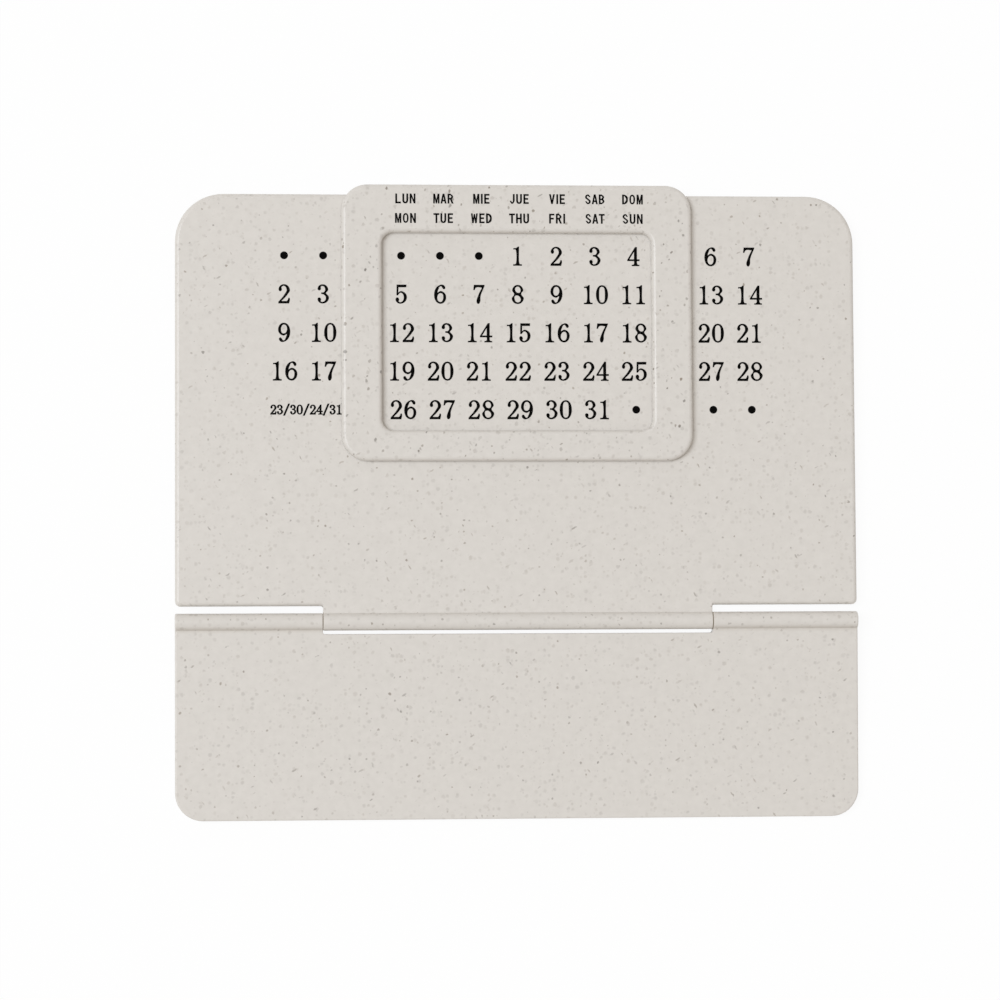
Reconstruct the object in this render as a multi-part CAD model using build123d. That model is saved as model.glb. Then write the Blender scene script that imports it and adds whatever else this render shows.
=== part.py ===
from build123d import *

import math
import os

# Perpetual desk calendar: a date panel and a stand on a pinned hinge, and a date window
# that slides along the panel's top edge. It lies open on a table, face up, with X along
# the lines of dates, Y towards the panel's top edge and Z up. Lengths are in millimetres.

# Panel that carries the dates
plate_width = 130.0
panel_height = 78.5
panel_thickness = 2.0
panel_corner_radius = 9.2
panel_foot_radius = 1.0
panel_face_rounding = 0.8
panel_back_chamfer = 0.4
panel_notch_radius = 0.5

# Stand, as wide as the panel, measured from the hinge axis to its far edge
base_reach = 37.45
base_thickness = 2.2
base_corner_radius = 5.3
base_rounding = 0.3
base_notch_radius = 0.45

# Hinge: a middle knuckle on the panel, an outer knuckle at each end of the stand
knuckle_diameter = 3.3
middle_knuckle_length = 74.15
knuckle_end_gap = 0.06
knuckle_end_chamfer = 0.1
knuckle_crease_radius = 0.15
panel_edge_gap = 1.35
base_edge_gap = 0.7

# Steel pins, pressed into the outer knuckles and turning in the middle one
pin_diameter = 1.2
pin_reach = 12.0
pin_inset = 0.5
pin_tip_gap = 0.5
pin_chamfer = 0.2
pin_running_clearance = 0.05

# Date window: a front frame and a rear leg joined over the panel's top edge
slider_width = 66.95
slider_height = 52.75
slider_corner_radius = 5.0
slider_top_wall = 1.5
slider_top_clearance = 0.2
slider_face_clearance = 0.15
frame_thickness = 1.6
frame_rounding = 0.8
leg_thickness = 1.2
leg_chamfer = 0.4
window_width = 51.6
window_height = 37.85
window_sill = 5.75
window_corner_radius = 2.2

# Snap bead at the foot of the rear leg, and the guide groove it runs in
date_column_pitch = 7.42
travel_columns = 3
bead_length = 12.0
bead_width = 1.6
bead_land = 0.4
bead_engagement = 0.45
bead_inset = 3.0
groove_side_clearance = 0.2
groove_end_clearance = 0.15

# How far a cutting shape runs past the face that it opens
cut_overrun = 1.0

# Heights above and distances along the hinge axis, which is the origin of each piece
knuckle_radius = knuckle_diameter / 2
pin_radius = pin_diameter / 2
back_z = -knuckle_radius
panel_face_z = back_z + panel_thickness
base_face_z = back_z + base_thickness
panel_low_y = knuckle_radius + panel_edge_gap
panel_high_y = panel_low_y + panel_height
base_high_y = -(knuckle_radius + base_edge_gap)
half_width = plate_width / 2
middle_knuckle_end = middle_knuckle_length / 2
outer_knuckle_start = middle_knuckle_end + knuckle_end_gap

# The slider's faces, from the table up, and its edges, from the top down
leg_inner_z = back_z - slider_face_clearance
leg_outer_z = leg_inner_z - leg_thickness
frame_inner_z = panel_face_z + slider_face_clearance
frame_outer_z = frame_inner_z + frame_thickness
slot_top_y = panel_high_y + slider_top_clearance
slider_high_y = slot_top_y + slider_top_wall
slider_low_y = slider_high_y - slider_height
bead_low_y = slider_low_y + bead_inset
bead_high_y = bead_low_y + bead_width

# The hinge axis stands off the table by the rear leg, and the stand droops until its
# far edge lies on the table too
hinge_z = -leg_outer_z
rim_y = base_reach - base_rounding
rim_z = knuckle_radius - base_rounding
droop = math.asin((hinge_z - base_rounding) / math.hypot(rim_y, rim_z)) - math.atan2(rim_z, rim_y)
base_lip_z = base_face_z - base_rounding
base_extent = rim_y * math.cos(droop) + base_lip_z * math.sin(droop) + base_rounding
hinge_y = (base_extent - slider_high_y) / 2


def rectangle_between(low_x, high_x, low_y, high_y):
    """Rectangle given by its sides."""
    centre = Pos((low_x + high_x) / 2, (low_y + high_y) / 2)
    return centre * Rectangle(high_x - low_x, high_y - low_y)


def prism(sketch, low_z, high_z):
    """Flat outline raised between two heights."""
    return extrude(Pos(0, 0, low_z) * sketch, high_z - low_z)


def along_x(radius, start_x, end_x):
    """Round bar or bore on the hinge axis."""
    bar = Cylinder(radius, end_x - start_x, align=(Align.CENTER, Align.CENTER, Align.MIN))
    return Pos(start_x, 0, 0) * Rot(0, 90, 0) * bar


def both_ends(solid):
    """A piece at the right-hand end and its mirror image at the left."""
    return solid + mirror(solid, about=Plane.YZ)


def round_corners(outline, radius, x, y):
    """Outline with the pair of corners at x and -x, at the height y, rounded."""
    for side_x in (-x, x):
        corner = outline.vertices().sort_by_distance((side_x, y))[0]
        outline = fillet(corner, radius)
    return outline


def calendar_panel():
    """Date panel with the middle knuckle, its pin bores and the slider's guide groove."""
    outline = rectangle_between(-half_width, half_width, panel_low_y, panel_high_y)
    outline += rectangle_between(-middle_knuckle_end, middle_knuckle_end, 0, panel_low_y)
    outline = round_corners(outline, panel_corner_radius, half_width, panel_high_y)
    outline = round_corners(outline, panel_foot_radius, half_width, panel_low_y)
    outline = round_corners(outline, panel_notch_radius, middle_knuckle_end, panel_low_y)
    panel = prism(outline, back_z, panel_face_z)
    panel = fillet(panel.faces().sort_by(Axis.Z)[-1].edges(), panel_face_rounding)
    panel = chamfer(panel.faces().sort_by(Axis.Z)[0].edges(), panel_back_chamfer)

    web_reach = panel_low_y + panel_face_rounding
    section = Circle(knuckle_radius) + rectangle_between(0, web_reach, back_z, panel_face_z)
    crease_y = math.sqrt(knuckle_radius**2 - panel_face_z**2)
    section = fillet(section.vertices().sort_by_distance((crease_y, panel_face_z))[0], knuckle_crease_radius)
    knuckle = extrude(Plane.YZ * section, middle_knuckle_end, both=True)
    knuckle = chamfer(knuckle.faces().filter_by(Axis.X).edges(), knuckle_end_chamfer)
    panel += knuckle

    bore_radius = pin_radius + pin_running_clearance
    bore_end = middle_knuckle_end - pin_reach - pin_tip_gap
    panel -= both_ends(along_x(bore_radius, bore_end, middle_knuckle_end + cut_overrun))

    groove_half = bead_length / 2 + travel_columns * date_column_pitch + groove_end_clearance
    groove_low_y = bead_low_y - groove_side_clearance
    groove_high_y = bead_high_y + groove_side_clearance
    groove = rectangle_between(-groove_half, groove_half, groove_low_y, groove_high_y)
    groove_top_z = back_z + bead_engagement + slider_face_clearance
    panel -= prism(groove, back_z - cut_overrun, groove_top_z)
    return panel


def stand_base():
    """Stand plate with an outer knuckle at each end and the pins' press-fit bores."""
    outline = rectangle_between(-half_width, half_width, -base_reach, 0)
    outline -= rectangle_between(-outer_knuckle_start, outer_knuckle_start, base_high_y, cut_overrun)
    outline = round_corners(outline, base_corner_radius, half_width, -base_reach)
    outline = round_corners(outline, base_notch_radius, outer_knuckle_start, base_high_y)
    base = prism(outline, back_z, base_face_z)
    base += both_ends(along_x(knuckle_radius, outer_knuckle_start, half_width))

    # The two creases are the face's lines nearest the hinge axis
    face_lines = base.edges().filter_by(Axis.X).group_by(Axis.Z)[-1]
    base = fillet(face_lines.sort_by(Axis.Y)[-2:], knuckle_crease_radius)

    # Each runs on along its smooth rim: the chamfer round the notch and the inner knuckle
    # ends, the rounding round the far edge, the corners, the sides and the outer ends
    notch_wall = base.faces().filter_by(Axis.Y).sort_by(Axis.Y)[-1]
    base = chamfer(notch_wall.edges().filter_by(Axis.X), knuckle_end_chamfer)
    far_wall = base.faces().filter_by(Axis.Y).sort_by(Axis.Y)[0]
    base = fillet(far_wall.edges().filter_by(Axis.X), base_rounding)

    base -= both_ends(along_x(pin_radius, outer_knuckle_start - cut_overrun, half_width + cut_overrun))
    return base


def hinge_pin():
    """Right-hand hinge pin, with a chamfer at each end."""
    pin = along_x(pin_radius, middle_knuckle_end - pin_reach, half_width - pin_inset)
    return chamfer(pin.edges().filter_by(GeomType.CIRCLE), pin_chamfer)


def date_slider():
    """Date window that hooks over the panel: frame, top wall, rear leg and snap bead."""
    slider_half = slider_width / 2
    outline = rectangle_between(-slider_half, slider_half, slider_low_y, slider_high_y)
    outline = fillet(outline.vertices(), slider_corner_radius)
    slider = prism(outline, leg_outer_z, frame_outer_z)
    slider = fillet(slider.faces().sort_by(Axis.Z)[-1].edges(), frame_rounding)
    slider = chamfer(slider.faces().sort_by(Axis.Z)[0].edges(), leg_chamfer)

    slot_half = slider_half + cut_overrun
    slot = rectangle_between(-slot_half, slot_half, slider_low_y - cut_overrun, slot_top_y)
    slider -= prism(slot, leg_inner_z, frame_inner_z)

    window_half = window_width / 2
    window_low_y = slider_low_y + window_sill
    window = rectangle_between(-window_half, window_half, window_low_y, window_low_y + window_height)
    window = fillet(window.vertices(), window_corner_radius)
    slider -= prism(window, panel_face_z, frame_outer_z + cut_overrun)
    face = slider.faces().sort_by(Axis.Z)[-1]
    slider = fillet(face.inner_wires().edges(), frame_rounding)

    # The bead's slope lets the leg ride over the panel's top edge, and its shoulder holds
    bead_top_z = back_z + bead_engagement
    bead_outline = Polyline(
        (bead_low_y, leg_inner_z),
        (bead_high_y, leg_inner_z),
        (bead_high_y, bead_top_z),
        (bead_high_y - bead_land, bead_top_z),
        close=True,
    )
    bead = extrude(Plane.YZ * make_face(bead_outline), bead_length / 2, both=True)
    return slider + bead


on_table = Pos(0, hinge_y, hinge_z)
drooped = on_table * Rot(math.degrees(droop), 0, 0)
right_pin = hinge_pin()
nodes = {
    "calendar_panel": on_table * calendar_panel(),
    "stand_base": drooped * stand_base(),
    "hinge_pin_left": drooped * mirror(right_pin, about=Plane.YZ),
    "hinge_pin_right": drooped * right_pin,
    "date_slider": on_table * date_slider(),
}

os.makedirs("parts", exist_ok=True)
for name, solid in nodes.items():
    export_step(solid, f"parts/{name}.step")
print(f"hinge axis at y {hinge_y:.4f}, z {hinge_z:.4f}; stand droops {math.degrees(droop):.4f} degrees")
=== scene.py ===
"""Perpetual desk calendar: the finishes, the printed dates and weekdays, and a plain studio."""

import logging
import math
from abc import ABC, abstractmethod
from dataclasses import dataclass, field
from enum import Enum
from typing import Any, NamedTuple, Union

import bmesh
import bpy
from mathutils import Euler, Matrix, Vector


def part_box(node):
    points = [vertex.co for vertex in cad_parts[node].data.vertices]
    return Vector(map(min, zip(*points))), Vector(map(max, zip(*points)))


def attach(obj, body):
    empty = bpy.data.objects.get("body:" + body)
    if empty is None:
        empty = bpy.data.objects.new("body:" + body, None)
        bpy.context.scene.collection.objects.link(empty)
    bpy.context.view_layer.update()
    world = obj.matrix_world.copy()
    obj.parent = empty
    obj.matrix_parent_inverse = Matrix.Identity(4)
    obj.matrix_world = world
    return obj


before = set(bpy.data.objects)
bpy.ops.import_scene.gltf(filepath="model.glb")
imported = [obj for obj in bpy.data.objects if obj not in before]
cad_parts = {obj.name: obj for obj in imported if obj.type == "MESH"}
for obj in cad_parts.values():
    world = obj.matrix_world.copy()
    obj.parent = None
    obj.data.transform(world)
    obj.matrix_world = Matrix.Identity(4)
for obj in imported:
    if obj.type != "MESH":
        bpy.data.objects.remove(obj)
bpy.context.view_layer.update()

LOG = logging.getLogger("desk_calendar")

Colour = tuple[float, float, float]
Point = tuple[float, float, float]
Feed = Union["Signal", bpy.types.NodeSocket, float, tuple[float, ...]]
Feeds = dict[Union[int, str], Feed]
Settings = dict[str, Any]

WHITE: Colour = (1.0, 1.0, 1.0)
NOISE_MEAN = 0.5


class Signal:
    """A number that varies over a surface. Arithmetic on it adds Math nodes."""

    def __init__(self, graph: "ShaderGraph", socket: bpy.types.NodeSocket) -> None:
        """Keep the graph that the number belongs to and the socket that gives it."""
        self.graph = graph
        self.socket = socket

    def _math(self, operation: str, first: Feed, second: Feed, clamp: bool = False) -> "Signal":
        """Add one Math node.

        Args:
            operation: the node's operation.
            first: the first operand.
            second: the second operand.
            clamp: whether the result is held between 0 and 1.

        Returns:
            The result as a signal.
        """
        settings = {"operation": operation, "use_clamp": clamp}
        node = self.graph.node("ShaderNodeMath", settings, {0: first, 1: second})
        return Signal(self.graph, node.outputs[0])

    def __add__(self, other: Feed) -> "Signal":
        """Sum with another signal or number."""
        return self._math("ADD", self, other)

    def __radd__(self, other: Feed) -> "Signal":
        """Sum of a number and this signal."""
        return self._math("ADD", other, self)

    def __sub__(self, other: Feed) -> "Signal":
        """Difference from another signal or number."""
        return self._math("SUBTRACT", self, other)

    def __rsub__(self, other: Feed) -> "Signal":
        """A number less this signal."""
        return self._math("SUBTRACT", other, self)

    def __mul__(self, other: Feed) -> "Signal":
        """Product with another signal or number."""
        return self._math("MULTIPLY", self, other)

    def __rmul__(self, other: Feed) -> "Signal":
        """Product of a number and this signal."""
        return self._math("MULTIPLY", other, self)

    def __pow__(self, exponent: float) -> "Signal":
        """This signal raised to a power."""
        return self._math("POWER", self, exponent)

    def __abs__(self) -> "Signal":
        """This signal without its sign."""
        return self._math("ABSOLUTE", self, 0.0)

    def clamped(self) -> "Signal":
        """This signal held between 0 and 1."""
        return self._math("ADD", self, 0.0, clamp=True)

    def larger(self, other: Feed) -> "Signal":
        """The larger of this signal and another."""
        return self._math("MAXIMUM", self, other)


class ShaderGraph:
    """A node tree that is filled through one method for any kind of node."""

    def __init__(self, tree: bpy.types.NodeTree) -> None:
        """Take over a node tree and empty it."""
        tree.nodes.clear()
        self.tree = tree

    def node(self, kind: str, settings: Settings, feeds: Feeds) -> bpy.types.Node:
        """Add a node, set it up and feed its sockets.

        Args:
            kind: Blender's name for the node's type.
            settings: the node's own properties, set before its sockets are fed.
            feeds: what goes into each input socket, by its place, identifier or name.

        Returns:
            The new node.
        """
        made = self.tree.nodes.new(kind)
        for name, value in settings.items():
            setattr(made, name, value)
        for key, feed in feeds.items():
            self._feed(self._socket(made.inputs, key), feed)
        return made

    def mix(self, share: Feed, first: Feed, second: Feed) -> bpy.types.NodeSocket:
        """Blend two colours.

        Args:
            share: how much of the second colour shows, from 0 to 1.
            first: the colour at 0.
            second: the colour at 1.

        Returns:
            The socket that gives the blended colour.
        """
        feeds = {"Factor_Float": share, "A_Color": first, "B_Color": second}
        node = self.node("ShaderNodeMix", {"data_type": "RGBA"}, feeds)
        return self._socket(node.outputs, "Result_Color")

    def object_place(self) -> bpy.types.NodeSocket:
        """The place on the piece itself, in metres."""
        return self.node("ShaderNodeTexCoord", {}, {}).outputs["Object"]

    def stretched(self, place: Feed, stretch: float, turn: float = 0.0) -> bpy.types.NodeSocket:
        """The place, changed so that shapes read at it are drawn out.

        Args:
            place: the vector to change.
            stretch: how many times longer than wide the shapes are.
            turn: direction of their long side, about the upright axis.

        Returns:
            The socket that gives the changed place.
        """
        feeds = {"Vector": place, "Rotation": (0.0, 0.0, turn), "Scale": (stretch, 1.0, 1.0)}
        return self.node("ShaderNodeMapping", {"vector_type": "TEXTURE"}, feeds).outputs["Vector"]

    def ragged(self, place: Feed, scale: float, reach: float) -> bpy.types.NodeSocket:
        """The place, shifted a little here and there so that shapes read at it are ragged.

        Args:
            place: the vector to shift.
            scale: waves of the shift per metre.
            reach: how far it shifts.

        Returns:
            The socket that gives the shifted place.
        """
        wave = self.node("ShaderNodeTexNoise", {}, {"Vector": place, "Scale": scale}).outputs["Color"]
        feeds = {0: wave, 1: (reach, reach, reach), 2: place}
        return self.node("ShaderNodeVectorMath", {"operation": "MULTIPLY_ADD"}, feeds).outputs["Vector"]

    def noise(self, place: Feed, scale: float, detail: float = 2.0) -> Signal:
        """Cloudy noise around its mean.

        Args:
            place: the vector that the noise is read at.
            scale: waves per metre.
            detail: how many finer octaves it has.

        Returns:
            The noise as a signal.
        """
        feeds = {"Vector": place, "Scale": scale, "Detail": detail}
        return Signal(self, self.node("ShaderNodeTexNoise", {}, feeds).outputs["Fac"])

    def bump(self, height: Signal, depth: float) -> bpy.types.NodeSocket:
        """Surface relief of a given depth in metres."""
        feeds = {"Strength": 1.0, "Distance": depth, "Height": height}
        return self.node("ShaderNodeBump", {}, feeds).outputs["Normal"]

    def surface(self, feeds: Feeds) -> bpy.types.NodeSocket:
        """A Principled shader with the given inputs."""
        return self.node("ShaderNodeBsdfPrincipled", {}, feeds).outputs["BSDF"]

    def seen_by_camera(self) -> Signal:
        """One for rays that show the background, straight or through gloss or glass.

        Returns:
            The signal, 0 for the rays that carry light.
        """
        path = self.node("ShaderNodeLightPath", {}, {})
        camera = Signal(self, path.outputs["Is Camera Ray"])
        glossy = Signal(self, path.outputs["Is Glossy Ray"])
        through = Signal(self, path.outputs["Is Transmission Ray"])
        return camera.larger(glossy).larger(through)

    @staticmethod
    def _socket(sockets: bpy.types.bpy_prop_collection, key: Union[int, str]) -> bpy.types.NodeSocket:
        """Find one of a node's sockets.

        Args:
            sockets: the node's inputs or outputs.
            key: the socket's place, identifier or name.

        Returns:
            The first socket that fits.
        """
        if isinstance(key, int):
            return sockets[key]
        return next(socket for socket in sockets if key in (socket.identifier, socket.name))

    def _feed(self, socket: bpy.types.NodeSocket, feed: Feed) -> None:
        """Link a signal or socket to an input, or set the input's own value.

        Args:
            socket: the input.
            feed: what goes into it. A colour gets its full alpha here.
        """
        if isinstance(feed, Signal):
            feed = feed.socket
        if isinstance(feed, bpy.types.NodeSocket):
            self.tree.links.new(feed, socket)
        elif isinstance(feed, tuple) and socket.type == "RGBA":
            socket.default_value = (*feed, 1.0)
        else:
            socket.default_value = feed


def hinge_axis() -> Vector:
    """A point on the hinge axis: the middle of a hinge pin."""
    low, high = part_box("hinge_pin_right")
    return (low + high) / 2


class Finish(ABC):
    """A surface finish that makes its own material."""

    name: str

    def material(self) -> bpy.types.Material:
        """Make the material.

        Returns:
            The finished material.
        """
        made = bpy.data.materials.new(self.name)
        made.use_nodes = True
        graph = ShaderGraph(made.node_tree)
        shader = self.shader(graph)
        graph.node("ShaderNodeOutputMaterial", {}, {"Surface": shader})
        return made

    @abstractmethod
    def shader(self, graph: ShaderGraph) -> bpy.types.NodeSocket:
        """Fill the graph.

        Args:
            graph: the graph that gets the nodes.

        Returns:
            The closing shader socket.
        """


@dataclass(frozen=True)
class Specks:
    """One kind of filler grain, scattered through the plastic.

    Attributes:
        spacing: mean distance between grains.
        radius: largest radius of a grain.
        edge: width of its soft edge.
        depth: how strongly the darkest grain shows.
        rarity: how much rarer dark grains are than faint ones.
        stretch: how many times longer than wide a grain is.
        turn: direction of the long side, about the upright axis.
    """

    spacing: float
    radius: float
    edge: float
    depth: float
    rarity: float
    stretch: float = 1.0
    turn: float = 0.0

    def mask(self, graph: ShaderGraph, place: Feed) -> Signal:
        """Where the grains show and how strongly.

        Args:
            graph: the graph that gets the nodes.
            place: the place on the piece.

        Returns:
            The mask, from 0 between grains.
        """
        drawn_out = graph.stretched(place, self.stretch, self.turn)
        feeds = {"Vector": drawn_out, "Scale": 1.0 / self.spacing}
        cell = graph.node("ShaderNodeTexVoronoi", {"feature": "F1"}, feeds)
        distance = Signal(graph, cell.outputs["Distance"])
        chance = graph.node("ShaderNodeSeparateColor", {}, {"Color": cell.outputs["Color"]})
        size = Signal(graph, chance.outputs["Red"])
        strength = Signal(graph, chance.outputs["Green"])
        reach = size * (self.radius / self.spacing)
        inside = ((reach - distance) * (self.spacing / self.edge)).clamped()
        return inside * strength**self.rarity * self.depth


@dataclass(frozen=True)
class DustPatch:
    """Painted shade: colour darkened in a seam or crease of the hinge, alike at the left and the right.

    Attributes:
        across: from the middle of the calendar to the patch's middle.
        along: from the hinge axis to the patch's middle, towards the panel's top edge.
        half_width: half its size across.
        half_length: half its size along.
        edge: width of its soft edge.
        share: how much of the plastic it hides.
        drop: how far below the hinge axis it reaches, so that none lies on the underside.
    """

    across: float
    along: float
    half_width: float
    half_length: float
    edge: float
    share: float
    drop: float = 0.0006

    def mask(self, graph: ShaderGraph, place: Feed) -> Signal:
        """Where the painted shade lies and how dark it is.

        Args:
            graph: the graph that gets the nodes.
            place: the place on the piece.

        Returns:
            The mask, from 0 outside the patch.
        """
        axis = hinge_axis()
        split = graph.node("ShaderNodeSeparateXYZ", {}, {"Vector": place})
        x, y, z = (Signal(graph, split.outputs[name]) for name in "XYZ")
        # Painted shade: a band near the hinge axis, mirrored left and right, where the colour is darkened.
        across = self._inside(self.half_width - abs(abs(x) - self.across))
        along = self._inside(self.half_length - abs(y - (axis.y + self.along)))
        above = self._inside(z - (axis.z - self.drop))
        return across * along * above * self.share

    def _inside(self, depth: Signal) -> Signal:
        """From 0 at the patch's border to 1 at the soft edge's depth and beyond."""
        return (depth * (1.0 / self.edge)).clamped()


@dataclass(frozen=True)
class StrawPlastic(Finish):
    """Matte moulded plastic filled with fine straw grains.

    Attributes:
        name: the material's name.
        grain: colour of the dull grains.
        husk: colour of the warm grains.
        specks: the kinds of grain in it.
        patches: where shade is painted into the colour, in the hinge's seams and crease.
        pale: the plastic's colour at its palest.
        deep: the plastic's colour at its deepest.
        dust: colour of the painted shade in the hinge's seams and crease.
        roughness: mean roughness of the skin.
        roughness_spread: how far the roughness varies.
        gloss: how much light the skin mirrors.
        cloud_scale: clouds of colour per metre.
        hue_scale: patches of dull and warm grains per metre.
        hue_start: level of the patches' noise where warm grains start.
        hue_contrast: how sharply dull grains turn to warm ones.
        skin_scale: dimples of the skin per metre.
        skin_depth: depth of the dimples.
        rag_scale: notches in the grains' outlines per metre.
        rag_reach: how deep the notches go.
    """

    name: str
    grain: Colour
    husk: Colour
    specks: tuple[Specks, ...]
    patches: tuple[DustPatch, ...] = ()
    pale: Colour = (0.748, 0.713, 0.669)
    deep: Colour = (0.668, 0.635, 0.593)
    # Painted shade: the colour that the hinge's seams and knuckle crease are darkened towards.
    dust: Colour = (0.44, 0.385, 0.31)
    roughness: float = 0.33
    roughness_spread: float = 0.15
    gloss: float = 0.42
    cloud_scale: float = 750.0
    hue_scale: float = 420.0
    hue_start: float = 0.4
    hue_contrast: float = 4.0
    skin_scale: float = 1800.0
    skin_depth: float = 0.00001
    rag_scale: float = 1500.0
    rag_reach: float = 0.0005

    def shader(self, graph: ShaderGraph) -> bpy.types.NodeSocket:
        """Plastic with clouded colour, grains, painted shade at the hinge and a finely rough skin.

        Args:
            graph: the graph that gets the nodes.

        Returns:
            The closing shader socket.
        """
        place = graph.object_place()
        cloud = graph.noise(place, self.cloud_scale)
        skin = graph.noise(place, self.skin_scale)
        body = graph.mix(cloud, self.pale, self.deep)
        colour = graph.mix(self._grains(graph, place), body, self._straw(graph, place))
        # Painted shade: the hinge's seams and knuckle crease are darkened in the colour itself.
        for patch in self.patches:
            colour = graph.mix(patch.mask(graph, place), colour, self.dust)
        return graph.surface({
            "Base Color": colour,
            "Roughness": self.roughness + (skin - NOISE_MEAN) * self.roughness_spread,
            "Normal": graph.bump(skin, self.skin_depth),
            "Specular IOR Level": self.gloss,
        })

    def _grains(self, graph: ShaderGraph, place: Feed) -> Signal:
        """Where grains of any kind show and how strongly.

        Args:
            graph: the graph that gets the nodes.
            place: the place on the piece.

        Returns:
            The mask, from 0 between grains.
        """
        ragged = graph.ragged(place, self.rag_scale, self.rag_reach)
        grains = self.specks[0].mask(graph, ragged)
        for kind in self.specks[1:]:
            grains = grains.larger(kind.mask(graph, ragged))
        return grains

    def _straw(self, graph: ShaderGraph, place: Feed) -> bpy.types.NodeSocket:
        """Colour of the grains, dull in some places and warm in others.

        Args:
            graph: the graph that gets the nodes.
            place: the place on the piece.

        Returns:
            The socket that gives the colour.
        """
        hue = graph.noise(place, self.hue_scale, detail=0.0)
        warmth = ((hue - self.hue_start) * self.hue_contrast).clamped()
        return graph.mix(warmth, self.grain, self.husk)


@dataclass(frozen=True)
class PrintInk(Finish):
    """Flat black pad-printing ink.

    Attributes:
        name: the material's name.
        dark: colour where the ink is thick.
        thin: colour where it lies thinner.
        mottle_scale: thick and thin spots per metre.
        mottle_detail: how many finer octaves the spots have.
        roughness: roughness where the ink is thick.
        roughness_spread: how much rougher it is where it is thin.
        gloss: how much light it mirrors.
    """

    name: str = "black_print_ink"
    dark: Colour = (0.0012, 0.0011, 0.001)
    thin: Colour = (0.004, 0.0037, 0.0034)
    mottle_scale: float = 2400.0
    mottle_detail: float = 3.0
    roughness: float = 0.55
    roughness_spread: float = 0.25
    gloss: float = 0.02

    def shader(self, graph: ShaderGraph) -> bpy.types.NodeSocket:
        """Ink with a faint mottle in colour and gloss.

        Args:
            graph: the graph that gets the nodes.

        Returns:
            The closing shader socket.
        """
        mottle = graph.noise(graph.object_place(), self.mottle_scale, self.mottle_detail)
        return graph.surface({
            "Base Color": graph.mix(mottle, self.dark, self.thin),
            "Roughness": self.roughness + mottle * self.roughness_spread,
            "Specular IOR Level": self.gloss,
        })


@dataclass(frozen=True)
class DrawnSteel(Finish):
    """Bright steel wire with fine lines along its length.

    Attributes:
        name: the material's name.
        bright: colour of the polished ridges.
        dull: colour in the drawn lines.
        line_scale: lines per metre around the wire.
        line_length: how many times longer than wide a line is.
        line_depth: depth of the lines.
        roughness: roughness of the ridges.
        roughness_spread: how much rougher the lines are.
    """

    name: str = "drawn_steel_wire"
    bright: Colour = (0.62, 0.61, 0.6)
    dull: Colour = (0.42, 0.41, 0.4)
    line_scale: float = 9000.0
    line_length: float = 60.0
    line_depth: float = 0.000004
    roughness: float = 0.22
    roughness_spread: float = 0.2

    def shader(self, graph: ShaderGraph) -> bpy.types.NodeSocket:
        """Metal with drawn lines along the wire in colour, gloss and relief.

        Args:
            graph: the graph that gets the nodes.

        Returns:
            The closing shader socket.
        """
        drawn_out = graph.stretched(graph.object_place(), self.line_length)
        lines = graph.noise(drawn_out, self.line_scale)
        return graph.surface({
            "Base Color": graph.mix(lines, self.bright, self.dull),
            "Metallic": 1.0,
            "Roughness": self.roughness + lines * self.roughness_spread,
            "Normal": graph.bump(lines, self.line_depth),
        })


@dataclass(frozen=True)
class WhiteSweep(Finish):
    """White studio floor that keeps a faint shadow.

    Attributes:
        name: the material's name.
        paper: colour of the floor as the light sees it.
        lift: how much of the floor's look is plain white for the camera.
    """

    name: str = "white_studio_floor"
    paper: Colour = (0.95, 0.95, 0.95)
    lift: float = 0.93

    def shader(self, graph: ShaderGraph) -> bpy.types.NodeSocket:
        """White paper, lifted to plain white for the camera, mirrors and glass.

        Args:
            graph: the graph that gets the nodes.

        Returns:
            The closing shader socket.
        """
        seen = graph.seen_by_camera()
        paper = graph.node("ShaderNodeBsdfDiffuse", {}, {"Color": self.paper}).outputs["BSDF"]
        white = graph.node("ShaderNodeEmission", {}, {"Color": WHITE}).outputs["Emission"]
        feeds = {0: seen * self.lift, 1: paper, 2: white}
        return graph.node("ShaderNodeMixShader", {}, feeds).outputs["Shader"]


class Bend(Enum):
    """How an outline passes a point. The value is Blender's handle type."""

    SHARP = "VECTOR"
    ROUND = "AUTO"


class Knot(NamedTuple):
    """A point of an outline, in shares of the character's height.

    Attributes:
        x: its place across, from the character's left side.
        y: its place above the character's foot.
        bend: how the outline passes it.
    """

    x: float
    y: float
    bend: Bend


Contour = tuple[Knot, ...]


def corner(x: float, y: float) -> Knot:
    """A sharp point of an outline."""
    return Knot(x, y, Bend.SHARP)


def curve(x: float, y: float) -> Knot:
    """A point on a round stretch of an outline."""
    return Knot(x, y, Bend.ROUND)


def sharp(*points: tuple[float, float]) -> Contour:
    """A contour of straight lines."""
    return tuple(corner(x, y) for x, y in points)


def smooth(*points: tuple[float, float]) -> Contour:
    """A contour that is round all the way."""
    return tuple(curve(x, y) for x, y in points)


def oval(centre_x: float, half_width: float, half_height: float) -> Contour:
    """Upright oval around half the character's height.

    Args:
        centre_x: its middle.
        half_width: half of its width.
        half_height: half of its height.

    Returns:
        The oval's four points.
    """
    left, right = centre_x - half_width, centre_x + half_width
    return smooth((left, 0.5), (centre_x, 0.5 + half_height), (right, 0.5), (centre_x, 0.5 - half_height))


def turned_over(contour: Contour, width: float) -> Contour:
    """A contour turned by half a turn within its character's box."""
    return tuple(Knot(width - k.x, 1.0 - k.y, k.bend) for k in contour)


NINE_WIDTH = 0.62
NINE_BODY = (
    curve(0.0, 0.675), curve(0.307, 1.0), curve(0.62, 0.55), curve(0.265, 0.0),
    curve(0.045, 0.14), curve(0.11, 0.223), curve(0.186, 0.145), curve(0.27, 0.06),
    curve(0.42, 0.26), corner(0.47, 0.44), curve(0.24, 0.345),
)
NINE_EYE = smooth((0.132, 0.675), (0.302, 0.925), (0.472, 0.655), (0.26, 0.43))

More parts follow.
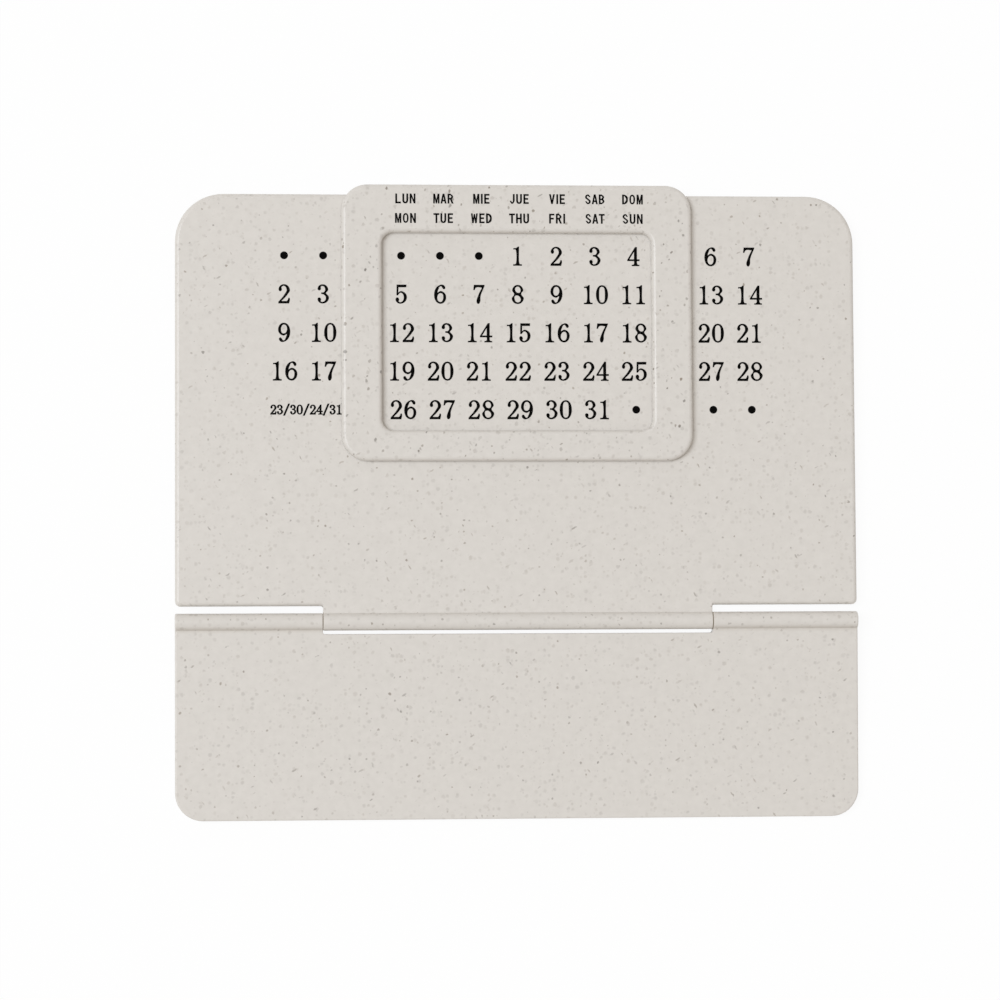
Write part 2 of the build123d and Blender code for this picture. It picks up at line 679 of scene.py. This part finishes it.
NUMERAL_OUTLINES: dict[str, tuple[Contour, ...]] = {
    "0": (oval(0.313, 0.313, 0.5), oval(0.313, 0.162, 0.435)),
    "1": (
        (
            corner(0.0, 0.0), corner(0.445, 0.0), corner(0.445, 0.05), curve(0.335, 0.075),
            curve(0.3, 0.15), corner(0.295, 1.0), corner(0.25, 1.0), curve(0.16, 0.93),
            corner(0.015, 0.915), corner(0.015, 0.865), curve(0.12, 0.86), curve(0.153, 0.8),
            curve(0.157, 0.15), curve(0.122, 0.075), corner(0.0, 0.05),
        ),
    ),
    "2": (
        (
            corner(0.0, 0.0), corner(0.545, 0.0), curve(0.578, 0.255), curve(0.545, 0.285),
            curve(0.505, 0.2), corner(0.44, 0.105), corner(0.125, 0.105), curve(0.465, 0.475),
            curve(0.585, 0.735), curve(0.29, 1.0), curve(0.012, 0.755), curve(0.095, 0.645),
            curve(0.165, 0.735), curve(0.145, 0.84), curve(0.275, 0.935), curve(0.437, 0.745),
            curve(0.33, 0.475), corner(0.0, 0.075),
        ),
    ),
    "3": (
        (
            curve(0.008, 0.79), curve(0.265, 1.0), curve(0.545, 0.76), corner(0.415, 0.545),
            curve(0.585, 0.28), curve(0.265, 0.0), curve(0.005, 0.215), curve(0.08, 0.3),
            curve(0.17, 0.215), curve(0.15, 0.12), curve(0.265, 0.065), curve(0.445, 0.275),
            curve(0.33, 0.475), corner(0.2, 0.505), corner(0.2, 0.565), curve(0.33, 0.585),
            curve(0.408, 0.755), curve(0.26, 0.935), curve(0.15, 0.87), curve(0.165, 0.775),
            curve(0.09, 0.695),
        ),
    ),
    "4": (
        (
            corner(0.415, 1.0), corner(0.497, 1.0), corner(0.497, 0.34), corner(0.635, 0.34),
            corner(0.635, 0.268), corner(0.497, 0.268), curve(0.502, 0.12), curve(0.537, 0.065),
            corner(0.625, 0.045), corner(0.625, 0.0), corner(0.235, 0.0), corner(0.235, 0.045),
            curve(0.325, 0.065), curve(0.36, 0.12), corner(0.36, 0.268), corner(0.0, 0.268),
            corner(0.0, 0.325),
        ),
        sharp((0.36, 0.79), (0.36, 0.34), (0.083, 0.34)),
    ),
    "5": (
        (
            corner(0.06, 0.995), corner(0.56, 0.995), corner(0.55, 0.875), corner(0.135, 0.875),
            corner(0.125, 0.57), curve(0.3, 0.65), curve(0.58, 0.335), curve(0.26, 0.0),
            curve(0.0, 0.2), curve(0.078, 0.315), curve(0.168, 0.215), curve(0.15, 0.11),
            curve(0.27, 0.06), curve(0.437, 0.33), curve(0.27, 0.585), corner(0.1, 0.44),
            corner(0.05, 0.45),
        ),
    ),
    "6": (turned_over(NINE_BODY, NINE_WIDTH), turned_over(NINE_EYE, NINE_WIDTH)),
    "7": (
        (
            corner(0.03, 0.995), corner(0.577, 0.995), corner(0.577, 0.95), curve(0.365, 0.42),
            curve(0.318, 0.055), curve(0.25, 0.0), curve(0.182, 0.06), curve(0.245, 0.4),
            corner(0.465, 0.865), curve(0.12, 0.86), corner(0.05, 0.735), corner(0.0, 0.735),
        ),
    ),
    "8": (
        smooth(
            (0.025, 0.745), (0.3, 1.0), (0.592, 0.75), (0.48, 0.53), (0.618, 0.265), (0.305, 0.0),
            (0.0, 0.255), (0.13, 0.505),
        ),
        smooth((0.155, 0.765), (0.3, 0.93), (0.472, 0.748), (0.37, 0.572)),
        smooth((0.127, 0.255), (0.207, 0.455), (0.48, 0.235), (0.31, 0.065)),
    ),
    "9": (NINE_BODY, NINE_EYE),
    "/": (sharp((0.0, -0.11), (0.13, -0.11), (0.64, 1.1), (0.51, 1.1)),),
}

LETTER_OUTLINES: dict[str, tuple[Contour, ...]] = {
    "A": (
        sharp(
            (0.0, 0.0), (0.16, 0.0), (0.205, 0.22), (0.395, 0.22), (0.44, 0.0), (0.6, 0.0),
            (0.39, 1.0), (0.21, 1.0),
        ),
        sharp((0.235, 0.37), (0.365, 0.37), (0.3, 0.74)),
    ),
    "B": (
        (
            corner(0.0, 0.0), corner(0.3, 0.0), curve(0.57, 0.27), corner(0.45, 0.52),
            curve(0.54, 0.75), corner(0.29, 1.0), corner(0.0, 1.0),
        ),
        (corner(0.17, 0.15), corner(0.29, 0.15), curve(0.4, 0.28), corner(0.29, 0.43), corner(0.17, 0.43)),
        (corner(0.17, 0.57), corner(0.28, 0.57), curve(0.37, 0.71), corner(0.28, 0.85), corner(0.17, 0.85)),
    ),
    "D": (
        (
            corner(0.0, 0.0), corner(0.24, 0.0), curve(0.5, 0.17), curve(0.58, 0.5),
            curve(0.5, 0.83), corner(0.24, 1.0), corner(0.0, 1.0),
        ),
        (corner(0.17, 0.15), corner(0.24, 0.15), curve(0.41, 0.5), corner(0.24, 0.85), corner(0.17, 0.85)),
    ),
    "E": (
        sharp(
            (0.0, 0.0), (0.53, 0.0), (0.53, 0.16), (0.17, 0.16), (0.17, 0.43), (0.47, 0.43),
            (0.47, 0.59), (0.17, 0.59), (0.17, 0.84), (0.53, 0.84), (0.53, 1.0), (0.0, 1.0),
        ),
    ),
    "F": (
        sharp(
            (0.0, 0.0), (0.17, 0.0), (0.17, 0.42), (0.46, 0.42), (0.46, 0.58), (0.17, 0.58),
            (0.17, 0.84), (0.53, 0.84), (0.53, 1.0), (0.0, 1.0),
        ),
    ),
    "H": (
        sharp(
            (0.0, 0.0), (0.17, 0.0), (0.17, 0.42), (0.41, 0.42), (0.41, 0.0), (0.58, 0.0),
            (0.58, 1.0), (0.41, 1.0), (0.41, 0.58), (0.17, 0.58), (0.17, 1.0), (0.0, 1.0),
        ),
    ),
    "I": (sharp((0.0, 0.0), (0.17, 0.0), (0.17, 1.0), (0.0, 1.0)),),
    "J": (
        (
            corner(0.0, 0.3), corner(0.16, 0.3), curve(0.24, 0.15), corner(0.33, 0.28),
            corner(0.33, 1.0), corner(0.5, 1.0), corner(0.5, 0.27), curve(0.24, 0.0),
        ),
    ),
    "L": (sharp((0.0, 0.0), (0.56, 0.0), (0.56, 0.16), (0.17, 0.16), (0.17, 1.0), (0.0, 1.0)),),
    "M": (
        sharp(
            (0.0, 0.0), (0.15, 0.0), (0.15, 0.62), (0.26, 0.0), (0.37, 0.0), (0.48, 0.62),
            (0.48, 0.0), (0.63, 0.0), (0.63, 1.0), (0.45, 1.0), (0.315, 0.35), (0.18, 1.0),
            (0.0, 1.0),
        ),
    ),
    "N": (
        sharp(
            (0.0, 0.0), (0.16, 0.0), (0.16, 0.66), (0.42, 0.0), (0.58, 0.0), (0.58, 1.0),
            (0.42, 1.0), (0.42, 0.34), (0.16, 1.0), (0.0, 1.0),
        ),
    ),
    "O": (oval(0.29, 0.29, 0.5), oval(0.29, 0.13, 0.35)),
    "R": (
        (
            corner(0.0, 0.0), corner(0.17, 0.0), corner(0.17, 0.42), corner(0.25, 0.42),
            corner(0.42, 0.0), corner(0.6, 0.0), corner(0.41, 0.46), curve(0.56, 0.71),
            corner(0.3, 1.0), corner(0.0, 1.0),
        ),
        (corner(0.17, 0.57), corner(0.28, 0.57), curve(0.39, 0.71), corner(0.28, 0.85), corner(0.17, 0.85)),
    ),
    "S": (
        (
            corner(0.55, 0.73), corner(0.39, 0.73), curve(0.28, 0.86), curve(0.17, 0.73),
            curve(0.31, 0.57), curve(0.57, 0.27), curve(0.285, 0.0), corner(0.0, 0.28),
            corner(0.16, 0.28), curve(0.285, 0.14), curve(0.4, 0.27), curve(0.25, 0.43),
            curve(0.0, 0.73), curve(0.28, 1.0),
        ),
    ),
    "T": (
        sharp(
            (0.21, 0.0), (0.38, 0.0), (0.38, 0.84), (0.59, 0.84), (0.59, 1.0), (0.0, 1.0),
            (0.0, 0.84), (0.21, 0.84),
        ),
    ),
    "U": (
        (
            corner(0.0, 1.0), corner(0.0, 0.27), curve(0.09, 0.07), curve(0.29, 0.0),
            curve(0.49, 0.07), corner(0.58, 0.27), corner(0.58, 1.0), corner(0.41, 1.0),
            corner(0.41, 0.28), curve(0.29, 0.14), corner(0.17, 0.28), corner(0.17, 1.0),
        ),
    ),
    "V": (
        sharp(
            (0.21, 0.0), (0.37, 0.0), (0.58, 1.0), (0.41, 1.0), (0.29, 0.36), (0.17, 1.0),
            (0.0, 1.0),
        ),
    ),
    "W": (
        sharp(
            (0.11, 0.0), (0.26, 0.0), (0.34, 0.55), (0.42, 0.0), (0.57, 0.0), (0.68, 1.0),
            (0.53, 1.0), (0.48, 0.42), (0.395, 0.95), (0.285, 0.95), (0.2, 0.42), (0.15, 1.0),
            (0.0, 1.0),
        ),
    ),
}


@dataclass
class TypeFace:
    """A set of characters cut as flat stamps of height one.

    Attributes:
        outlines: the contours of each character.
        weight: how far the ink spreads past the outline on every side.
        pitch: distance from one character's middle to the next's, or 0 to set them by their widths.
        gap: space between characters that are set by their widths.
        tucked: characters that are set closer to their neighbours.
        tuck: how much narrower than its outline a tucked character is set.
        smoothness: steps along each round stretch.
    """

    outlines: dict[str, tuple[Contour, ...]]
    weight: float
    pitch: float = 0.0
    gap: float = 0.0
    tucked: str = "AT"
    tuck: float = 0.09
    smoothness: int = 5
    _stamps: dict[str, bpy.types.Mesh] = field(default_factory=dict, init=False, repr=False)

    def middles(self, word: str) -> list[float]:
        """Where each character of a centred word has its middle.

        Args:
            word: the characters to set.

        Returns:
            One place for each character, in shares of the height.
        """
        if self.pitch:
            first = -self.pitch * (len(word) - 1) / 2
            return [first + self.pitch * i for i in range(len(word))]
        widths = [self._set_width(character) for character in word]
        edge = -(sum(widths) + self.gap * (len(word) - 1)) / 2
        places = []
        for width in widths:
            places.append(edge + width / 2)
            edge += width + self.gap
        return places

    def stamp(self, character: str) -> bpy.types.Mesh:
        """The flat stamp of a character, cut once and kept.

        Args:
            character: which character.

        Returns:
            A mesh in shares of the height, with its middle at zero.
        """
        if character not in self._stamps:
            self._stamps[character] = self._cut(character)
        return self._stamps[character]

    def _width(self, character: str) -> float:
        """Width of a character's outline, in shares of its height."""
        return max(knot.x for contour in self.outlines[character] for knot in contour)

    def _set_width(self, character: str) -> float:
        """Width that a character takes up in a word."""
        return self._width(character) - (self.tuck if character in self.tucked else 0.0)

    def _cut(self, character: str) -> bpy.types.Mesh:
        """Fill a character's contours as a flat curve and make that a mesh.

        Args:
            character: which character.

        Returns:
            The flat mesh.
        """
        shape = bpy.data.curves.new("stamp", "CURVE")
        shape.dimensions = "2D"
        shape.fill_mode = "FRONT"
        shape.resolution_u = self.smoothness
        shape.offset = self.weight
        middle = self._width(character) / 2
        for contour in self.outlines[character]:
            spline = shape.splines.new("BEZIER")
            spline.bezier_points.add(len(contour) - 1)
            spline.use_cyclic_u = True
            for point, knot in zip(spline.bezier_points, contour):
                point.co = (knot.x - middle, knot.y, 0.0)
                point.handle_left_type = knot.bend.value
                point.handle_right_type = knot.bend.value
        holder = bpy.data.objects.new("stamp", shape)
        bpy.context.scene.collection.objects.link(holder)
        bpy.context.view_layer.update()
        seen = holder.evaluated_get(bpy.context.evaluated_depsgraph_get())
        mesh = bpy.data.meshes.new_from_object(seen)
        bpy.data.objects.remove(holder)
        return mesh


@dataclass
class InkPrint:
    """A layer of print on one moving body of the calendar.

    Attributes:
        name: the piece's name.
        body: the body that it rides.
        surface: height of the face that it is printed on.
        thickness: how far the ink stands up from the face.
        sunk: how far it reaches into the face, so that no gap shows.
        dot_sides: straight sides that make up a round dot.
        weld: points of a stamp that are closer than this become one.
    """

    name: str
    body: str
    surface: float
    thickness: float = 0.00002
    sunk: float = 0.00001
    dot_sides: int = 32
    weld: float = 1e-7
    _layer: bmesh.types.BMesh = field(default_factory=bmesh.new, init=False, repr=False)

    def word(self, text: str, face: TypeFace, x: float, y: float, height: float) -> None:
        """Print a word centred on a place.

        Args:
            text: the characters.
            face: the typeface.
            x: middle of the word.
            y: middle of its height.
            height: height of a character.
        """
        for character, middle in zip(text, face.middles(text)):
            at = Vector((x + middle * height, y - height / 2, 0.0))
            self._press(face.stamp(character), at, height)

    def dot(self, x: float, y: float, diameter: float) -> None:
        """Print a round dot centred on a place.

        Args:
            x: its middle across.
            y: its middle up.
            diameter: its width.
        """
        at = Matrix.Translation((x, y, 0.0))
        bmesh.ops.create_circle(
            self._layer, cap_ends=True, segments=self.dot_sides, radius=diameter / 2, matrix=at
        )

    def piece(self, finish: Finish) -> bpy.types.Object:
        """Give the layer its thickness and finish and set it on its body.

        Args:
            finish: the ink.

        Returns:
            The printed piece.
        """
        layer = self._layer
        bmesh.ops.remove_doubles(layer, verts=layer.verts, dist=self.weld)
        raised = bmesh.ops.extrude_face_region(layer, geom=layer.faces[:], use_keep_orig=True)
        top = [item for item in raised["geom"] if isinstance(item, bmesh.types.BMVert)]
        bmesh.ops.translate(layer, vec=(0.0, 0.0, self.thickness + self.sunk), verts=top)
        bmesh.ops.translate(layer, vec=(0.0, 0.0, self.surface - self.sunk), verts=layer.verts)
        bmesh.ops.recalc_face_normals(layer, faces=layer.faces)
        mesh = bpy.data.meshes.new(self.name)
        layer.to_mesh(mesh)
        layer.free()
        mesh.materials.append(finish.material())
        made = bpy.data.objects.new(self.name, mesh)
        bpy.context.scene.collection.objects.link(made)
        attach(made, self.body)
        LOG.info("%s: %d faces on body %s", self.name, len(mesh.polygons), self.body)
        return made

    def _press(self, stamp: bpy.types.Mesh, at: Vector, height: float) -> None:
        """Add a scaled copy of a stamp to the layer.

        Args:
            stamp: the stamp, of height one.
            at: where the middle of its foot goes.
            height: height of the copy.
        """
        old = set(self._layer.verts)
        self._layer.from_mesh(stamp)
        new = [vert for vert in self._layer.verts if vert not in old]
        bmesh.ops.scale(self._layer, vec=(height, height, 1.0), verts=new)
        bmesh.ops.translate(self._layer, vec=at, verts=new)


@dataclass
class DateGrid:
    """The lines of dates printed on the panel.

    Attributes:
        numerals: typeface of the dates.
        small_numerals: typeface of the small dates.
        first_date: number of the first place, where 0 and below come before the month.
        last_date: last date of the longest month.
        week: how many days later each line starts.
        full_lines: lines that have a date or a dot at every place.
        columns: how many places a line has.
        small_dates: the dates at the start of the last line.
        small_places: how many places they take up.
        column_pitch: distance between dates in a line.
        line_pitch: distance between lines.
        middle: middle of the middle column.
        top_margin: from the panel's top edge to the middle of the first line.
        last_shift: how far the last line is printed to the right of the others.
        small_shift: how far the small dates are printed to the right of the middle of their places.
        face_drop: how far the panel's face lies below the top of its knuckle.
        numeral_height: height of a date.
        small_height: height of a small date.
        dot_diameter: width of the dot on a place with no date.
    """

    numerals: TypeFace
    small_numerals: TypeFace
    first_date: int = -5
    last_date: int = 31
    week: int = 7
    full_lines: int = 4
    columns: int = 13
    small_dates: str = "23/30/24/31"
    small_places: int = 2
    column_pitch: float = 0.00742
    line_pitch: float = 0.007357
    middle: float = 0.0002
    top_margin: float = 0.011807
    last_shift: float = 0.00031
    small_shift: float = 0.00045
    face_drop: float = 0.0013
    numeral_height: float = 0.0036
    small_height: float = 0.00178
    dot_diameter: float = 0.0015

    def build(self, ink: Finish) -> bpy.types.Object:
        """Print the whole grid.

        Args:
            ink: the finish of the print.

        Returns:
            The printed piece.
        """
        corner_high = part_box("calendar_panel")[1]
        layer = InkPrint("date_numbers", "panel", corner_high.z - self.face_drop)
        y = corner_high.y - self.top_margin
        first = self.first_date
        for _ in range(self.full_lines):
            self._line(layer, range(first, first + self.columns), self._column(0), y)
            first += self.week
            y -= self.line_pitch
        self._last_line(layer, first, y)
        return layer.piece(ink)

    def _column(self, place: int) -> float:
        """Middle of a column, counted from the left."""
        return self.middle + self.column_pitch * (place - (self.columns - 1) / 2)

    def _line(self, layer: InkPrint, dates: range, left: float, y: float) -> None:
        """Print one line of dates, with a dot where a month has no such date.

        Args:
            layer: the print that the line goes into.
            dates: the dates in their order.
            left: middle of the first date.
            y: middle of the line's height.
        """
        for place, date in enumerate(dates):
            x = left + self.column_pitch * place
            if 1 <= date <= self.last_date:
                layer.word(str(date), self.numerals, x, y, self.numeral_height)
            else:
                layer.dot(x, y, self.dot_diameter)

    def _last_line(self, layer: InkPrint, first: int, y: float) -> None:
        """Print the small dates that share the first places, and the dates after them.

        Args:
            layer: the print that the line goes into.
            first: date at the line's first place.
            y: middle of the line's height.
        """
        between = (self._column(0) + self._column(self.small_places - 1)) / 2 + self.small_shift
        layer.word(self.small_dates, self.small_numerals, between, y, self.small_height)
        dates = range(first + self.small_places, first + self.columns)
        self._line(layer, dates, self._column(self.small_places) + self.last_shift, y)


@dataclass
class WeekdayNames:
    """The two lines of weekday names printed on the slider's top bar.

    Attributes:
        capitals: typeface of the names.
        column_pitch: distance between names in a line.
        middle: middle of the middle name.
        top_margins: from the slider's top edge to the middle of each line.
        letter_height: height of a capital.
        names: the names of each line.
    """

    capitals: TypeFace
    column_pitch: float = 0.00724
    middle: float = 0.00045
    top_margins: tuple[float, float] = (0.002767, 0.006512)
    letter_height: float = 0.00185
    names: tuple[str, str] = ("LUN MAR MIE JUE VIE SAB DOM", "MON TUE WED THU FRI SAT SUN")

    def build(self, ink: Finish) -> bpy.types.Object:
        """Print both lines.

        Args:
            ink: the finish of the print.

        Returns:
            The printed piece.
        """
        corner_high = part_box("date_slider")[1]
        layer = InkPrint("weekday_names", "slider", corner_high.z)
        for line, margin in zip(self.names, self.top_margins):
            days = line.split()
            for place, day in enumerate(days):
                x = self.middle + self.column_pitch * (place - (len(days) - 1) / 2)
                layer.word(day, self.capitals, x, corner_high.y - margin, self.letter_height)
        return layer.piece(ink)


@dataclass
class CalendarSolids:
    """The calendar's own solids and the finish of each.

    Attributes:
        plates: finish of the panel and the stand.
        window: finish of the sliding date window.
        wire: finish of the hinge pins.
    """

    plates: Finish
    window: Finish
    wire: Finish

    def dress(self) -> None:
        """Give every solid its finish."""
        plates, window, wire = (finish.material() for finish in (self.plates, self.window, self.wire))
        looks = {
            "calendar_panel": plates,
            "stand_base": plates,
            "date_slider": window,
            "hinge_pin_left": wire,
            "hinge_pin_right": wire,
        }
        for node, material in looks.items():
            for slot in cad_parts[node].material_slots:
                slot.material = material
            LOG.info("%s: %s", node, material.name)


@dataclass(frozen=True)
class SoftLamp:
    """A soft box, turned to the calendar.

    Attributes:
        name: the lamp's name.
        place: where it hangs.
        length: its level side.
        height: its other side.
        power: its power in watts.
        tint: colour of its light.
    """

    name: str
    place: Point
    length: float
    height: float
    power: float
    tint: Colour

    def hang(self) -> None:
        """Add the lamp to the scene."""
        lamp = bpy.data.lights.new(self.name, "AREA")
        lamp.shape = "RECTANGLE"
        lamp.size = self.length
        lamp.size_y = self.height
        lamp.energy = self.power
        lamp.color = self.tint
        holder = bpy.data.objects.new(self.name, lamp)
        holder.location = self.place
        holder.rotation_euler = (-Vector(self.place)).to_track_quat("-Z", "Y").to_euler()
        bpy.context.scene.collection.objects.link(holder)


KEY_LAMP = SoftLamp(
    name="key_left",
    place=(-2.44, 0.35, 4.5),
    length=2.4,
    height=2.8,
    power=138.0,
    tint=(0.94, 1.0, 1.07),
)


@dataclass
class Studio:
    """White floor, soft light from the upper left and the camera above.

    Attributes:
        floor_half: half the side of the floor.
        floor_gap: how far the floor lies under the part, so that no faces share a plane.
        fill: brightness of the light from all round.
        fill_tint: its colour, warm where the lamp is cool, so that together they are white.
        key: the soft box.
        eye: where the camera stands.
        aim: what it looks at.
        roll: turn of the camera about its line of sight, in degrees.
        lens: focal length in millimetres.
        nearest: how near to the camera a thing still shows.
    """

    floor_half: float = 3.0
    floor_gap: float = 0.00002
    fill: float = 0.51
    fill_tint: Colour = (1.06, 1.0, 0.93)
    key: SoftLamp = KEY_LAMP
    eye: Point = (-0.0485, -0.03625, 0.6345)
    aim: Point = (-0.00335, 0.0002, 0.0024)
    roll: float = -0.324
    lens: float = 119.97
    nearest: float = 0.01

    def build(self) -> None:
        """Set up the floor, the light and the camera."""
        self._floor()
        self._surroundings()
        self.key.hang()
        self._camera()

    def _floor(self) -> None:
        """Lay the white floor."""
        layer = bmesh.new()
        bmesh.ops.create_grid(layer, x_segments=1, y_segments=1, size=self.floor_half)
        bmesh.ops.translate(layer, vec=(0.0, 0.0, -self.floor_gap), verts=layer.verts)
        mesh = bpy.data.meshes.new("studio_floor")
        layer.to_mesh(mesh)
        layer.free()
        mesh.materials.append(WhiteSweep().material())
        floor = bpy.data.objects.new("studio_floor", mesh)
        bpy.context.scene.collection.objects.link(floor)

    def _surroundings(self) -> None:
        """Light the scene evenly from all round, plain white behind the floor."""
        world = bpy.data.worlds.new("studio_surroundings")
        world.use_nodes = True
        graph = ShaderGraph(world.node_tree)
        seen = graph.seen_by_camera()
        tint = graph.mix(seen, self.fill_tint, WHITE)
        strength = self.fill + seen * (1.0 - self.fill)
        light = graph.node("ShaderNodeBackground", {}, {"Color": tint, "Strength": strength})
        graph.node("ShaderNodeOutputWorld", {}, {"Surface": light.outputs["Background"]})
        bpy.context.scene.world = world

    def _camera(self) -> None:
        """Stand the camera where the picture was taken from."""
        camera = bpy.data.cameras.new("studio_camera")
        camera.lens = self.lens
        camera.clip_start = self.nearest
        back = (Vector(self.eye) - Vector(self.aim)).normalized()
        right = Vector((0.0, 1.0, 0.0)).cross(back).normalized()
        turn = Matrix((right, back.cross(right), back)).transposed()
        roll = Euler((0.0, 0.0, math.radians(self.roll))).to_matrix()
        holder = bpy.data.objects.new("studio_camera", camera)
        holder.matrix_world = Matrix.Translation(self.eye) @ (turn @ roll).to_4x4()
        bpy.context.scene.collection.objects.link(holder)
        bpy.context.scene.camera = holder
        bpy.context.scene.view_settings.view_transform = "Standard"


FAINT_GRAIN = Specks(spacing=0.00088, radius=0.00054, edge=0.00027, depth=0.28, rarity=1.0)
DARK_GRAIN = Specks(spacing=0.0011, radius=0.00032, edge=0.00014, depth=0.9, rarity=2.1)
THICK_GRAIN = Specks(
    spacing=0.00095, radius=0.00034, edge=0.00012, depth=1.0, rarity=1.5, stretch=1.3, turn=1.2
)
FIBRE_ACROSS = Specks(
    spacing=0.0012, radius=0.00024, edge=0.0001, depth=0.7, rarity=2.0, stretch=3.0, turn=0.5
)
FIBRE_ALONG = Specks(
    spacing=0.0012, radius=0.00024, edge=0.0001, depth=0.7, rarity=2.0, stretch=3.0, turn=2.1
)

# Painted shade: dark ticks in the seams between the knuckles and a faint warm band along the stand's
# knuckle crease.
SEAM_PAINTED_SHADE = DustPatch(
    across=0.0371, along=0.0, half_width=0.00014, half_length=0.0018, edge=0.00006, share=1.0
)
CREASE_PAINTED_SHADE = DustPatch(
    across=0.0511, along=-0.00152, half_width=0.0141, half_length=0.0007, edge=0.0005, share=0.22
)

PLATE_PLASTIC = StrawPlastic(
    name="straw_plastic_plates",
    grain=(0.29, 0.266, 0.24),
    husk=(0.32, 0.269, 0.216),
    specks=(FAINT_GRAIN, DARK_GRAIN, FIBRE_ACROSS, FIBRE_ALONG),
    patches=(SEAM_PAINTED_SHADE, CREASE_PAINTED_SHADE),
)
WINDOW_PLASTIC = StrawPlastic(
    name="straw_plastic_window",
    grain=(0.24, 0.22, 0.195),
    husk=(0.272, 0.225, 0.176),
    specks=(FAINT_GRAIN, THICK_GRAIN, FIBRE_ACROSS, FIBRE_ALONG),
)


def main() -> None:
    """Dress the solids, print the dates and weekdays and set the studio."""
    logging.basicConfig(level=logging.INFO, format="%(message)s")
    ink = PrintInk()
    numerals = TypeFace(NUMERAL_OUTLINES, weight=0.012, pitch=0.737)
    small_numerals = TypeFace(NUMERAL_OUTLINES, weight=0.04, pitch=0.7)
    capitals = TypeFace(LETTER_OUTLINES, weight=0.009, gap=0.17)
    CalendarSolids(PLATE_PLASTIC, WINDOW_PLASTIC, DrawnSteel()).dress()
    DateGrid(numerals, small_numerals).build(ink)
    WeekdayNames(capitals).build(ink)
    Studio().build()
    LOG.info("sizes written")


if __name__ == "__main__":
    main()
